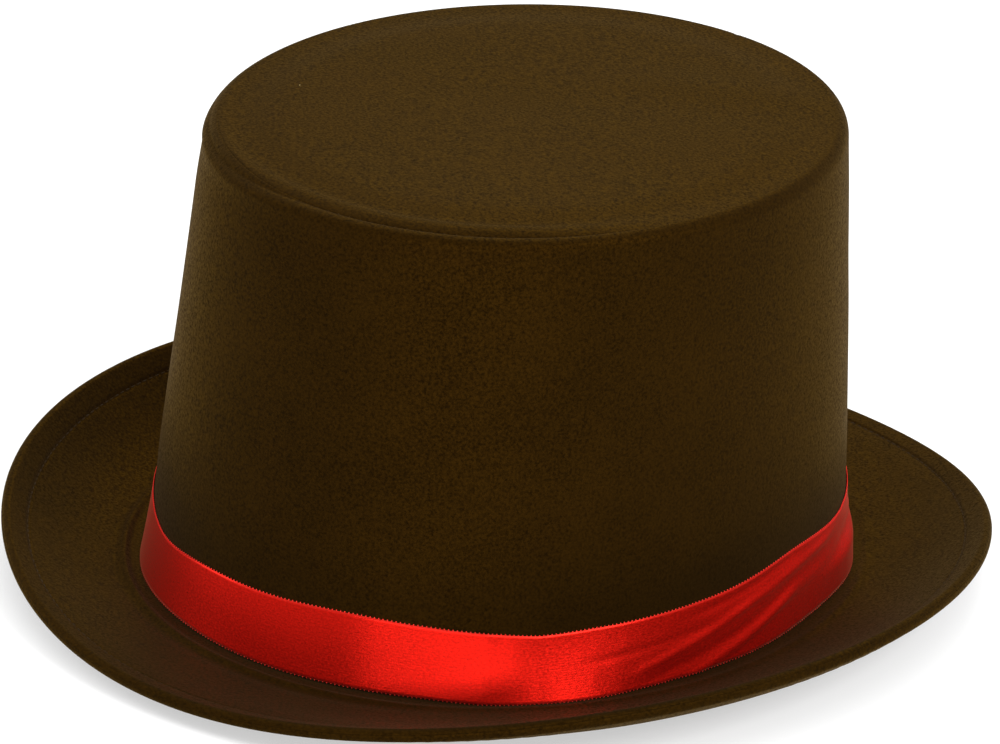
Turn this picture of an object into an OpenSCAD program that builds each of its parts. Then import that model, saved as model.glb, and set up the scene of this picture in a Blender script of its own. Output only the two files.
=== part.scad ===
// Dress top hat: an oval crown standing on a curled brim, every board covered
// in satin, with a ribbon band round the foot of the crown and a sweatband inside.
// Millimetres, +Z up. The front of the hat faces -Y, and the flat ring of the
// brim's underside, round the head opening, rests on z = 0.

/* [Crown] */
// Half length of the crown's oval where it meets the brim, front to back
crown_base_half = 105.5; // [102:0.5:109]
// Half length of the crown's oval at its top
crown_top_half = 95; // [90:0.5:98]
// Width of the oval as a share of its length
oval_ratio = 0.84; // [0.80:0.01:0.88]
// Height of the crown above the brim
crown_height = 125; // [110:1:140]
// Radius of the rounded edge round the top
rim_radius = 4.4; // [4:0.1:6]
// How far the middle of the top lies below its edge
tip_dish = 1.6; // [0.4:0.1:3]

/* [Brim] */
// Half width of the brim, side to side
brim_half_width = 128.5; // [122:0.5:134]
// Half length of the brim, front to back
brim_half_length = 144.5; // [138:0.5:150]
// Mean rise of the brim's edge above its flat inner ring
edge_rise = 11.2; // [10.5:0.1:13]
// Extra rise of the edge at both sides, and its drop at front and back
side_curl = 7.5; // [0:0.1:8]
// Rise of the front edge, and drop of the back edge
front_lift = 1.6; // [0:0.1:2]
// How much the curl keeps to the sides of the hat
curl_crest = 0.8; // [0:0.1:1]
// Share of the brim's width that lies flat round the crown
flat_share = 0.12; // [0.08:0.01:0.2]
// Distance of the hem stitching from the brim's edge
hem_width = 6.5; // [5:0.5:9]

/* [Layers] */
// Thickness of the padded satin covers
cover_t = 0.6; // [0.4:0.1:0.8]
// Thickness of the stiff board inside crown and brim
board_t = 1.8; // [1.5:0.1:2]
// Thickness of the lining inside the crown
lining_t = 0.3; // [0.2:0.1:0.5]
// Room left between two layers
gap = 0.06; // [0.05:0.01:0.1]

/* [Ribbon] */
// Width of the ribbon, from its lower to its upper edge
ribbon_width = 19; // [15:1:25]
// Thickness of the ribbon
ribbon_t = 0.35; // [0.3:0.05:0.5]
// Length of the ribbon's end that laps over its start, at the back
ribbon_lap = 24; // [16:1:30]

/* [Sweatband] */
// Height of the sweatband's upper edge above the table
sweatband_top = 32; // [25:1:40]
// Thickness of the sweatband
sweatband_t = 0.9; // [0.6:0.1:1.2]

/* [Threads and wire] */
// Radius of the sewing threads
thread_r = 0.2; // [0.15:0.05:0.25]
// Radius of the wire in the brim's edge
wire_r = 0.6; // [0.4:0.1:0.6]
// Length of the ferrule that joins the wire's two ends
ferrule_length = 8; // [6:1:10]

/* [Hidden] */
$fn = 96;

satin_black = "#2b2214";
board_grey = "#b8b0a0";
lining_black = "#1c1a18";
thread_black = "#18130c";
ribbon_red = "#d61a12";
thread_red = "#a8120c";
wire_steel = "#9aa0a4";
sweatband_black = "#24211f";

// Brim: half its thickness, and the places of its layers on either side of the middle
brim_half_t = cover_t + gap + board_t / 2;
brim_t = 2 * brim_half_t;
edge_inner_r = brim_half_t - cover_t;

// Crown: the centre of the rounded top edge, and the lean of its wall
top_z = brim_t + crown_height;
rim_r = crown_top_half - rim_radius;
rim_z = top_z - rim_radius;
lean = atan((crown_base_half - crown_top_half) / (crown_height - rim_radius));

// Layers of the crown, as distances in from its outer face
board_in = cover_t + gap;
lining_in = board_in + board_t + gap;
sweatband_in = lining_in + lining_t + gap;
crown_foot = brim_t + gap;
hole_half = wall_r(0, sweatband_in) + gap;

// Where the side and the top of each crown layer meet, round the rim
cover_split = 80;
board_split = 20;
lining_split = 45;
seam_width = 0.5;
rim_step = 15;
tip_steps = 5;

// Ribbon and its stitches
ribbon_z = brim_t + 3 * thread_r;
tack_count = 4;
tack_share = 0.6;

// Sweatband
sweatband_foot = 0.4;
sweatband_gap = 1.2;
join_stitches = 6;

// Steps round the brim: with an even count there is a straight one across the back
brim_steps = 72;
curl_steps = 6;
edge_steps = 3;
wire_sides = 8;
thread_sides = 6;
thread_facets = 8;

// ---------- shapes of the crown ----------

// Half length of the crown's wall at height z, inset from its outer face
function wall_r(z, inset) =
    rim_r + (rim_radius - inset - (z - rim_z) * sin(lean)) / cos(lean);

// Point of the rounded rim at an angle up from level
function rim_point(angle, inset) =
    [rim_r + (rim_radius - inset) * cos(angle), rim_z + (rim_radius - inset) * sin(angle)];

// Point of the dished top at a share of the rim's radius
function tip_point(share, inset) =
    [rim_r * share, top_z - inset - tip_dish * pow(1 - share * share, 2)];

function angles(from, to) =
    let (n = max(1, ceil((to - from) / rim_step)))
    [for (i = [0:n]) from + (to - from) * i / n];

function reversed(points) = [for (i = [len(points) - 1:-1:0]) points[i]];

function side_line(inset, foot, last) = concat(
    [[wall_r(foot, inset), foot]],
    [for (a = angles(lean, last)) rim_point(a, inset)]
);

function tip_line(inset, first) = concat(
    [for (a = angles(first, 90)) rim_point(a, inset)],
    [for (i = [1:tip_steps]) tip_point(1 - i / tip_steps, inset)]
);

// Angle round the rim, or round the crown, that a length covers
function turn(length, radius) = length / radius * 180 / PI;

// An outline turned about the hat's axis in quarters and narrowed to its oval.
// With a slit, the ring is cut open at the back.
module oval_ring(slit = 0) {
    difference() {
        for (quarter = [0:3])
            scale([oval_ratio, 1, 1])
                rotate([0, 0, 90 * quarter])
                    rotate_extrude(angle = 90) children();
        if (slit > 0)
            translate([-slit / 2, 0, -1])
                cube([slit, crown_base_half + 1, top_z + 2]);
    }
}

module crown_side_layer(inset, thickness, split, foot = crown_foot, slit = 0) {
    oval_ring(slit) polygon(concat(
        side_line(inset, foot, split),
        reversed(side_line(inset + thickness, foot, split))
    ));
}

module crown_tip_layer(inset, thickness, split) {
    oval_ring() polygon(concat(
        tip_line(inset, split),
        reversed(tip_line(inset + thickness, split))
    ));
}

// A band that follows the crown's wall between two heights
module wall_band(inset, thickness, low, high, slit = 0) {
    oval_ring(slit) polygon([
        [wall_r(low, inset), low], [wall_r(high, inset), high],
        [wall_r(high, inset + thickness), high], [wall_r(low, inset + thickness), low]
    ]);
}

// A thread round the crown, in the plane of the outline point it runs through
module oval_thread(point) {
    oval_ring() translate(point) circle(r = thread_r, $fn = thread_facets);
}

// A straight thread up the crown's wall at distance x from the middle of its back
module wall_thread(x, low, high, inset) {
    along = sqrt(1 - pow(x / (oval_ratio * wall_r(low, inset)), 2));
    translate([x, wall_r(low, inset) * along, low])
        rotate([lean, 0, 0])
            cylinder(r = thread_r, h = (high - low) / cos(lean), $fn = 24);
}

// ---------- shapes of the brim ----------

function rise(t) =
    edge_rise + side_curl * cos(2 * t) - front_lift * sin(t) - curl_crest * cos(4 * t);

function inner_point(t) = [oval_ratio * hole_half * cos(t), hole_half * sin(t)];
function outer_point(t) = [brim_half_width * cos(t), brim_half_length * sin(t)];
function brim_width(t) = norm(outer_point(t) - inner_point(t));

// How far the brim has curled up at a share of its width: 0 on the flat ring, 1 at the edge
function curled(share) = share <= flat_share ? 0 : pow((share - flat_share) / (1 - flat_share), 2);

function slope(t, share) =
    share <= flat_share ? 0
    : atan(2 * rise(t) * (share - flat_share) / pow(1 - flat_share, 2) / brim_width(t));

// A point of the brim: a share of its width out from the head opening, then a step
// along the brim and a step off its middle surface
function brim_point(t, share, along, off) =
    let (
        a = slope(t, share),
        out = share * brim_width(t) + along * cos(a) - off * sin(a),
        level = brim_half_t + rise(t) * curled(share) + along * sin(a) + off * cos(a),
        plan = inner_point(t) + (outer_point(t) - inner_point(t)) * out / brim_width(t)
    )
    [plan[0], plan[1], level];

function share_in(t, distance) = 1 - distance / brim_width(t);
function angle_round(i) = (i + 0.5) * 360 / brim_steps;

// Shares of the brim's width at which a layer's outline has a point
function layer_shares(last) = concat(
    [0], [for (i = [0:curl_steps]) flat_share + (last - flat_share) * i / curl_steps]
);

// One face of a brim layer, from the head opening outwards
function layer_face(t, last, off) = [for (s = layer_shares(last)) brim_point(t, s, 0, off)];

// Part of the brim's rounded edge, on the side that way points to (1 up, -1 down)
function edge_arc(t, radius, way) =
    let (centre = share_in(t, brim_half_t), first = turn(gap / 2, brim_half_t))
    [for (i = [1:edge_steps])
        let (a = 90 + (first - 90) * i / edge_steps)
        brim_point(t, centre, radius * cos(a), way * radius * sin(a))];

function cover_outline(t, way) =
    let (last = share_in(t, brim_half_t))
    concat(
        layer_face(t, last, way * brim_half_t),
        edge_arc(t, brim_half_t, way),
        reversed(edge_arc(t, edge_inner_r, way)),
        reversed(layer_face(t, last, way * edge_inner_r))
    );

function board_outline(t) =
    let (last = share_in(t, brim_t + gap), off = board_t / 2)
    concat(layer_face(t, last, off), reversed(layer_face(t, last, -off)));

// A round section standing across the brim
function tube_outline(t, share, off, radius, sides) =
    [for (i = [0:sides - 1])
        brim_point(t, share, radius * cos(-360 * i / sides), off + radius * sin(-360 * i / sides))];

// Joins outlines into one closed solid. A closed loop meets itself, an open one has end faces.
module sweep(outlines, closed = true) {
    rows = len(outlines);
    count = len(outlines[0]);
    last = closed ? rows - 1 : rows - 2;
    sides = [for (i = [0:last], j = [0:count - 1])
        let (
            i2 = (i + 1) % rows, j2 = (j + 1) % count,
            a = i * count + j, b = i * count + j2, c = i2 * count + j2, d = i2 * count + j
        )
        each [[a, b, c], [a, c, d]]];
    ends = closed ? [] : [
        [for (j = [count - 1:-1:0]) j],
        [for (j = [0:count - 1]) (rows - 1) * count + j]
    ];
    polyhedron(points = [for (o = outlines) each o], faces = concat(sides, ends), convexity = 6);
}

// A thread all round the brim at the hem, on the side that way points to
module hem_thread(way) {
    off = way * (brim_half_t + thread_r + gap);
    sweep([for (i = [0:brim_steps - 1])
        let (t = angle_round(i))
        tube_outline(t, share_in(t, hem_width), off, thread_r, thread_sides)]);
}

// ---------- the pieces ----------

module crown_side_board() {
    color(board_grey) crown_side_layer(board_in, board_t, board_split);
}

module crown_tip_board() {
    color(board_grey) crown_tip_layer(board_in, board_t, board_split + turn(gap, rim_radius - lining_in));
}

module crown_side_cover() {
    color(satin_black) crown_side_layer(0, cover_t, cover_split, slit = seam_width);
}

module crown_tip_cover() {
    color(satin_black) crown_tip_layer(0, cover_t, cover_split + turn(seam_width, rim_radius - cover_t));
}

// Lies in the groove where the side cover meets the top cover
module rim_seam_thread() {
    middle = cover_split + turn(seam_width, rim_radius - cover_t) / 2;
    color(thread_black) oval_thread(rim_point(middle, cover_t / 2));
}

// Lies in the slit that closes the side cover at the back, above the ribbon
module back_seam_thread() {
    color(thread_black) wall_thread(0, ribbon_z + ribbon_width + 1, rim_z, cover_t / 2);
}

module crown_side_lining() {
    color(lining_black) crown_side_layer(lining_in, lining_t, lining_split);
}

module crown_tip_lining() {
    color(lining_black)
        crown_tip_layer(lining_in, lining_t, lining_split + turn(gap, rim_radius - sweatband_in));
}

module brim_board() {
    color(board_grey) sweep([for (i = [0:brim_steps - 1]) board_outline(angle_round(i))]);
}

module brim_top_cover() {
    color(satin_black) sweep([for (i = [0:brim_steps - 1]) cover_outline(angle_round(i), 1)]);
}

module brim_under_cover() {
    color(satin_black)
        sweep([for (i = [0:brim_steps - 1]) reversed(cover_outline(angle_round(i), -1))]);
}

// An open loop of wire in the edge: its ends meet in the ferrule, across the back
module brim_edge_wire() {
    back = brim_steps / 4;
    loop = [for (i = [back:back + brim_steps - 1])
        let (t = angle_round(i))
        tube_outline(t, share_in(t, brim_half_t), 0, wire_r, wire_sides)];
    first = loop[0];
    end = loop[brim_steps - 1];
    near_first = 0.5 + gap;
    start_cap = [for (j = [0:wire_sides - 1]) first[j] * near_first + end[j] * (1 - near_first)];
    end_cap = [for (j = [0:wire_sides - 1]) end[j] * near_first + first[j] * (1 - near_first)];
    color(wire_steel) sweep(concat([start_cap], loop, [end_cap]), closed = false);
}

module brim_wire_ferrule() {
    t = angle_round(brim_steps / 4);
    centre = brim_point(t, share_in(t, brim_half_t), 0, 0);
    wall = edge_inner_r - wire_r - 2 * gap;
    color(wire_steel)
        translate([-ferrule_length / 2, centre[1], centre[2]])
            rotate([0, 90, 0])
                difference() {
                    cylinder(r = wire_r + gap + wall, h = ferrule_length, $fn = 32);
                    translate([0, 0, -1])
                        cylinder(r = wire_r + gap, h = ferrule_length + 2, $fn = 32);
                }
}

module hem_top_thread() {
    color(thread_black) hem_thread(1);
}

module hem_under_thread() {
    color(thread_black) hem_thread(-1);
}

// Sews the foot of the crown's cover to the brim, under the ribbon's lower edge
module crown_brim_thread() {
    z = brim_t + gap + thread_r;
    color(thread_black) oval_thread([wall_r(z, 0) + gap + thread_r, z]);
}

module hat_ribbon() {
    color(ribbon_red)
        wall_band(-gap - ribbon_t, ribbon_t, ribbon_z, ribbon_z + ribbon_width);
}

// The ribbon's end, lapped over its start at the back and tacked down
module ribbon_lap_end() {
    high = ribbon_z + ribbon_width;
    inset = -2 * (gap + ribbon_t);
    angle = turn(ribbon_lap, crown_base_half);
    color(ribbon_red)
        scale([oval_ratio, 1, 1])
            rotate([0, 0, 90 - angle / 2])
                rotate_extrude(angle = angle)
                    polygon([
                        [wall_r(ribbon_z, inset), ribbon_z], [wall_r(high, inset), high],
                        [wall_r(high, inset + ribbon_t), high],
                        [wall_r(ribbon_z, inset + ribbon_t), ribbon_z]
                    ]);
}

module ribbon_tack_stitches() {
    pitch = ribbon_width / tack_count;
    inset = -2 * (gap + ribbon_t) - gap - thread_r;
    color(thread_red)
        for (i = [0:tack_count - 1]) {
            low = ribbon_z + pitch * (i + (1 - tack_share) / 2);
            wall_thread(ribbon_lap * oval_ratio * tack_share / 2, low, low + pitch * tack_share, inset);
        }
}

module sweatband() {
    color(sweatband_black)
        wall_band(sweatband_in, sweatband_t, sweatband_foot, sweatband_top, slit = sweatband_gap);
}

// Short stitches across the gap that closes the sweatband at the back
module sweatband_join_stitches() {
    pitch = (sweatband_top - sweatband_foot) / (join_stitches + 1);
    length = 4 * sweatband_gap;
    color(thread_black)
        for (i = [1:join_stitches]) {
            z = sweatband_foot + i * pitch;
            bow = wall_r(z, sweatband_in + sweatband_t) - 2 * gap - thread_r;
            translate([-length / 2, bow, z])
                rotate([0, 90, 0])
                    cylinder(r = thread_r, h = length, $fn = 24);
        }
}

// Sews the sweatband's lower edge in all round the head opening
module sweatband_thread() {
    z = brim_half_t;
    color(thread_black)
        oval_thread([wall_r(z, sweatband_in + sweatband_t) - gap - thread_r, z]);
}

crown_side_board();
crown_tip_board();
crown_side_cover();
crown_tip_cover();
rim_seam_thread();
back_seam_thread();
crown_side_lining();
crown_tip_lining();
brim_board();
brim_top_cover();
brim_under_cover();
brim_edge_wire();
brim_wire_ferrule();
hem_top_thread();
hem_under_thread();
crown_brim_thread();
hat_ribbon();
ribbon_lap_end();
ribbon_tack_stitches();
sweatband();
sweatband_join_stitches();
sweatband_thread();
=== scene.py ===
"""A dress top hat in dark satin. Its covers, hems, ribbon, linings, sweatband and stitching are
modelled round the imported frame, which keeps the boards and the brim's wire."""

import math

import bmesh
import bpy
from bpy.props import FloatProperty, FloatVectorProperty, IntProperty, PointerProperty
from mathutils import Matrix, Vector, noise


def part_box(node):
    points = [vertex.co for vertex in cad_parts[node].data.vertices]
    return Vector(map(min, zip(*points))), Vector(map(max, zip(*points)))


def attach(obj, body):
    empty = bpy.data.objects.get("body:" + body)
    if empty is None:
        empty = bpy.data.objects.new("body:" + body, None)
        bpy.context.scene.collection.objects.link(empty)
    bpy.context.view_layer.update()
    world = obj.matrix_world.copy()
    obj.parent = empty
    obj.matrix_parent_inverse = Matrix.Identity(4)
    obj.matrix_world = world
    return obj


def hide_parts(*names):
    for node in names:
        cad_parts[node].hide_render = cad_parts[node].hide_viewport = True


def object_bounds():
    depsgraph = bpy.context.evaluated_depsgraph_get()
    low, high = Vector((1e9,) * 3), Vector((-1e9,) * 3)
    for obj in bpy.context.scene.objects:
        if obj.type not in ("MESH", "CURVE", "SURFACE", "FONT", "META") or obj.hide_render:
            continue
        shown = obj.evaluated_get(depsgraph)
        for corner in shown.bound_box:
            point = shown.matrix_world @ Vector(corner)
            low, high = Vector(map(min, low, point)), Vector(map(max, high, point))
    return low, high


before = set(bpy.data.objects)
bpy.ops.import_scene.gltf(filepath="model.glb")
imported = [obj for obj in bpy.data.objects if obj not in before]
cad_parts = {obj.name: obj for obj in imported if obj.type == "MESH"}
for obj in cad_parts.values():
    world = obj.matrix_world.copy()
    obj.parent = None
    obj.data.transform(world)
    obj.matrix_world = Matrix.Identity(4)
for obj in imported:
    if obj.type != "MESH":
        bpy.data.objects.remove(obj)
CAD_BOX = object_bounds()

bl_info = {
    "name": "Satin Top Hat",
    "version": (1, 0, 0),
    "blender": (4, 5, 0),
    "location": "View3D > Sidebar > Top Hat",
    "description": "Builds the covers, ribbon, linings and stitching of a dress top hat",
    "category": "Object",
}

MM = 0.001
BODY = "root"
BACK = math.pi / 2

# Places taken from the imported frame
SIDE_LOW, SIDE_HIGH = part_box("crown_side_cover")
UNDER_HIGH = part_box("brim_under_cover")[1]
RIBBON_LOW, RIBBON_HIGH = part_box("hat_ribbon")
BAND_LOW, BAND_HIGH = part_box("sweatband")
LINING_LOW, LINING_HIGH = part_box("crown_side_lining")
BRIM_THICK = SIDE_LOW.z - 0.06 * MM
BRIM_HALF_THICK = BRIM_THICK / 2
RIBBON_WIDTH = RIBBON_HIGH.z - RIBBON_LOW.z
LINING_THICK = 0.2 * MM
# Angles up from level, on the rounded rim: where the two covers meet, and the side cover's last row
SEAM_ANGLE = math.radians(82.8)
SIDE_LAST_ANGLE = math.radians(82)


# ---------- sizes and colours ----------


class HatSizes(bpy.types.PropertyGroup):
    """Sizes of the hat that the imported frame's boxes don't give, and the depth of its soft detail"""

    crown_top_half: FloatProperty(
        name="Crown top half length",
        description="Half length of the crown's oval at its top",
        default=0.095, min=0.08, max=0.1, unit="LENGTH", precision=4,
    )
    rim_radius: FloatProperty(
        name="Rim radius",
        description="Radius of the rounded edge round the top",
        default=0.0044, min=0.003, max=0.008, unit="LENGTH", precision=4,
    )
    tip_dish: FloatProperty(
        name="Top dish",
        description="How far the middle of the top lies below its edge",
        default=0.0016, min=0.0, max=0.003, unit="LENGTH", precision=4,
    )
    brim_half_width: FloatProperty(
        name="Brim half width",
        description="Half width of the brim, side to side",
        default=0.1285, min=0.12, max=0.135, unit="LENGTH", precision=4,
    )
    edge_rise: FloatProperty(
        name="Edge rise",
        description="Mean rise of the brim's edge above its flat inner ring",
        default=0.0112, min=0.008, max=0.014, unit="LENGTH", precision=4,
    )
    side_curl: FloatProperty(
        name="Side curl",
        description="Extra rise of the edge at both sides, and its drop at front and back",
        default=0.0075, min=0.0, max=0.009, unit="LENGTH", precision=4,
    )
    front_lift: FloatProperty(
        name="Front lift",
        description="Rise of the front edge, and drop of the back edge",
        default=0.0016, min=0.0, max=0.003, unit="LENGTH", precision=4,
    )
    curl_crest: FloatProperty(
        name="Curl crest",
        description="How much the curl keeps to the sides of the hat",
        default=0.0008, min=0.0, max=0.002, unit="LENGTH", precision=4,
    )
    flat_share: FloatProperty(
        name="Flat share",
        description="Share of the brim's width that lies flat round the crown",
        default=0.12, min=0.05, max=0.3, subtype="FACTOR",
    )
    hem_width: FloatProperty(
        name="Hem width",
        description="Distance of the hem stitching from the brim's edge",
        default=0.0065, min=0.004, max=0.01, unit="LENGTH", precision=4,
    )
    cover_thick: FloatProperty(
        name="Cover thickness",
        description="Thickness of the satin covers",
        default=0.00045, min=0.0002, max=0.0006, unit="LENGTH", precision=5,
    )
    ribbon_thick: FloatProperty(
        name="Ribbon thickness",
        description="Thickness of the satin ribbon",
        default=0.00025, min=0.0001, max=0.0005, unit="LENGTH", precision=5,
    )
    hem_stitch: FloatProperty(
        name="Hem stitch",
        description="Distance from one hem stitch to the next",
        default=0.0027, min=0.0015, max=0.005, unit="LENGTH", precision=4,
    )
    picot_pitch: FloatProperty(
        name="Picot pitch",
        description="Distance from one woven loop of the ribbon's edge to the next",
        default=0.00115, min=0.0008, max=0.002, unit="LENGTH", precision=5,
    )
    around: IntProperty(
        name="Steps around",
        description="Steps that the large covers have round the hat",
        default=360, min=96, max=600,
    )


class HatColours(bpy.types.PropertyGroup):
    """Colours of the hat's cloths, threads and boards"""

    satin: FloatVectorProperty(
        name="Satin", description="Colour of the crown's and the brim's satin",
        default=(0.0146, 0.0063, 0.0006), size=3, subtype="COLOR", min=0.0, max=1.0,
    )
    satin_sheen: FloatVectorProperty(
        name="Satin sheen", description="Tint of the light that the satin throws back",
        default=(1.0, 0.75, 0.44), size=3, subtype="COLOR", min=0.0, max=1.0,
    )
    ribbon: FloatVectorProperty(
        name="Ribbon", description="Colour of the satin ribbon",
        default=(0.60, 0.0095, 0.0045), size=3, subtype="COLOR", min=0.0, max=1.0,
    )
    ribbon_edge: FloatVectorProperty(
        name="Ribbon edge", description="Colour of the ribbon's woven edges",
        default=(0.66, 0.03, 0.02), size=3, subtype="COLOR", min=0.0, max=1.0,
    )
    lining: FloatVectorProperty(
        name="Lining", description="Colour of the crown's lining",
        default=(0.018, 0.016, 0.014), size=3, subtype="COLOR", min=0.0, max=1.0,
    )
    sweatband: FloatVectorProperty(
        name="Sweatband", description="Colour of the grosgrain sweatband",
        default=(0.016, 0.013, 0.010), size=3, subtype="COLOR", min=0.0, max=1.0,
    )
    thread: FloatVectorProperty(
        name="Thread", description="Colour of the dark sewing thread",
        default=(0.024, 0.013, 0.003), size=3, subtype="COLOR", min=0.0, max=1.0,
    )
    board: FloatVectorProperty(
        name="Board", description="Colour of the stiffened felt inside the covers",
        default=(0.42, 0.38, 0.31), size=3, subtype="COLOR", min=0.0, max=1.0,
    )


# ---------- the hat's surfaces ----------


def fade(value, low, high):
    """0 below low, 1 above high, and a smooth rise between them"""
    x = min(max((value - low) / (high - low), 0.0), 1.0)
    return x * x * (3 - 2 * x)


def bump(value, middle, width):
    """1 at the middle, falling smoothly to 0 on both sides"""
    return math.exp(-((value - middle) / width) ** 2)


def ripple(point, size, seed):
    """Smooth noise from -1 to 1 whose hills are about as wide as size"""
    return noise.noise(point / size + Vector((seed, 2.7 * seed, -1.3 * seed)))


def degrees_from(turn, middle):
    """Degrees from one direction round the hat to another, the short way"""
    return (math.degrees(turn) - middle + 180) % 360 - 180


class HatShape:
    """The crown's and the brim's surfaces. A turn is the angle round the oval: the front is at
    -90 degrees, the right of the frame (+X) at 0 and the back at 90."""

    def __init__(self, sizes):
        self.sizes = sizes
        self.ratio = SIDE_HIGH.x / SIDE_HIGH.y
        self.base_half = SIDE_HIGH.y
        self.foot = SIDE_LOW.z
        self.top = CAD_BOX[1].z
        self.rim_half = sizes.crown_top_half - sizes.rim_radius
        self.rim_z = self.top - sizes.rim_radius
        self.lean = math.atan(
            (self.base_half - sizes.crown_top_half) / (self.rim_z - self.foot)
        )
        self.hole_half = BAND_HIGH.y + 0.1 * MM
        self.brim_half_length = UNDER_HIGH.y

    def wall_half(self, z, inset=0.0):
        """Half length of the crown's wall at height z"""
        across = self.sizes.rim_radius - inset - (z - self.rim_z) * math.sin(self.lean)
        return self.rim_half + across / math.cos(self.lean)

    def rim_point(self, angle, inset=0.0):
        """Half length and height of a point of the rounded rim, at an angle up from level"""
        radius = self.sizes.rim_radius - inset
        return (
            self.rim_half + radius * math.cos(angle),
            self.rim_z + radius * math.sin(angle),
        )

    def tip_height(self, share, inset=0.0):
        """Height of the dished top at a share of the rim's half length"""
        return self.top - inset - self.sizes.tip_dish * (1 - share * share) ** 2

    def outward(self, turn):
        """Level direction that faces away from the crown"""
        return Vector((math.cos(turn) / self.ratio, math.sin(turn), 0)).normalized()

    def on_oval(self, turn, half, z, out=0.0):
        """A point of the crown's oval, moved out from it"""
        place = Vector((self.ratio * half * math.cos(turn), half * math.sin(turn), z))
        return place + self.outward(turn) * out

    def round_length(self, half):
        """Length once round the oval"""
        a, b = self.ratio * half, half
        return math.pi * (3 * (a + b) - math.sqrt((3 * a + b) * (a + 3 * b)))

    def edge_height(self, turn):
        s = self.sizes
        return (
            s.edge_rise + s.side_curl * math.cos(2 * turn)
            - s.front_lift * math.sin(turn) - s.curl_crest * math.cos(4 * turn)
        )

    def brim_span(self, turn):
        """Inner and outer point of the brim at a turn"""
        inner = Vector((self.ratio * math.cos(turn), math.sin(turn))) * self.hole_half
        outer = Vector((
            self.sizes.brim_half_width * math.cos(turn),
            self.brim_half_length * math.sin(turn),
        ))
        return inner, outer

    def brim_width(self, turn):
        inner, outer = self.brim_span(turn)
        return (outer - inner).length

    def brim_frame(self, turn, share):
        """Point of the brim's middle surface with the directions out along the brim and off it"""
        flat = self.sizes.flat_share
        inner, outer = self.brim_span(turn)
        width = (outer - inner).length
        rise = self.edge_height(turn)
        curl = max(share - flat, 0.0) / (1 - flat)
        tilt = math.atan(2 * rise * curl / (1 - flat) / width)
        level = (outer - inner).normalized()
        plan = inner + (outer - inner) * share
        point = Vector((plan.x, plan.y, BRIM_HALF_THICK + rise * curl * curl))
        along = Vector((level.x * math.cos(tilt), level.y * math.cos(tilt), math.sin(tilt)))
        off = Vector((-level.x * math.sin(tilt), -level.y * math.sin(tilt), math.cos(tilt)))
        return point, along, off

    def brim_point(self, turn, share, along, off):
        point, along_way, off_way = self.brim_frame(turn, share)
        return point + along_way * along + off_way * off


# ---------- soft detail ----------

# The sharp stretch of the rim's groove: its middle and half width in degrees
FRONT_CREASE = (-88, 32)
# The soft ridge across the top: its middle in mm and its direction in degrees
TOP_RIDGE = (26.4, 53.3, 36.7)
# Turns of the ribbon's crease, of the kink beside it and of the bulge of its lower half
RIBBON_CREASE = -49.5
RIBBON_KINK = -41.0
RIBBON_BULGE = 31.0
# Where the ribbon's upper edge rides up or sags: turn, half width in degrees, height in mm
RIBBON_SWAYS = ((-119, 13, -2.6), (-72, 12, 1.0), (-36, 18, -1.5), (9, 13, 2.6))
# Where its lower edge stands off the crown: turn, half width in degrees, distance in mm
RIBBON_FLARES = ((-128, 16, 1.2), (-38, 19, 3.3), (-2, 15, 1.2))
# Folds of the ribbon: start turn and height share, end turn and height share, depth and width in mm
RIBBON_FOLDS = (
    (-22, 0.30, -4, 0.66, 0.50, 1.2),
    (-4, 0.66, 20, 0.84, 0.55, 1.1),
    (-20, 0.12, 3, 0.50, -0.45, 1.2),
    (-14, 0.02, 6, 0.44, 0.55, 1.1),
    (6, 0.44, 24, 0.60, 0.35, 1.5),
    (-12, 0.84, 8, 0.93, -0.35, 1.0),
    (-30, 0.52, -12, 0.60, -0.22, 1.0),
    (36, 0.70, 62, 0.35, 0.35, 1.4),
    (-172, 0.30, -150, 0.62, 0.30, 1.6),
    (128, 0.62, 152, 0.30, 0.35, 1.5),
)


def crease_strength(turn):
    """How sharp the rim's crease is: 1 at the front, and almost nothing elsewhere"""
    middle, half = FRONT_CREASE
    return 0.04 + 0.96 * (1 - fade(abs(degrees_from(turn, middle)), half, half + 42))


def rim_lift(turn, distance):
    """Height of the rim's soft fold at a distance from its seam: a crease between two puffed
    shoulders at the front, and almost smooth elsewhere"""
    strength = crease_strength(turn)
    distance += 2.9 * MM * (1 - fade(degrees_from(turn, -90), -32, 6))
    valley = 0.27 * bump(distance, 0, 1.5 * MM) + 0.26 * bump(distance, 0, 0.5 * MM)
    shoulders = 0.58 * bump(distance, -3.2 * MM, 1.7 * MM) + 0.72 * bump(distance, 4.0 * MM, 2.3 * MM)
    return (shoulders - valley) * strength * MM


def wall_lift(shape, turn, z):
    """How far the crown's side cover stands off its board, tight at the ribbon and at the rim"""
    point = shape.on_oval(turn, shape.wall_half(z), z)
    free = fade(z, RIBBON_HIGH.z - 1 * MM, RIBBON_HIGH.z + 16 * MM)
    free *= 1 - 0.8 * fade(z, shape.rim_z - 14 * MM, shape.rim_z)
    wave = 0.30 * (1 + ripple(point, 55 * MM, 3.0)) + 0.07 * ripple(point, 17 * MM, 8.0)
    seam = bump(degrees_from(turn, 90), 0, 0.5)
    pucker = 0.06 * math.sin(z / (4.2 * MM)) * bump(degrees_from(turn, 90), 0, 2.5)
    return (wave * free - 0.32 * seam + pucker) * MM


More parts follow.
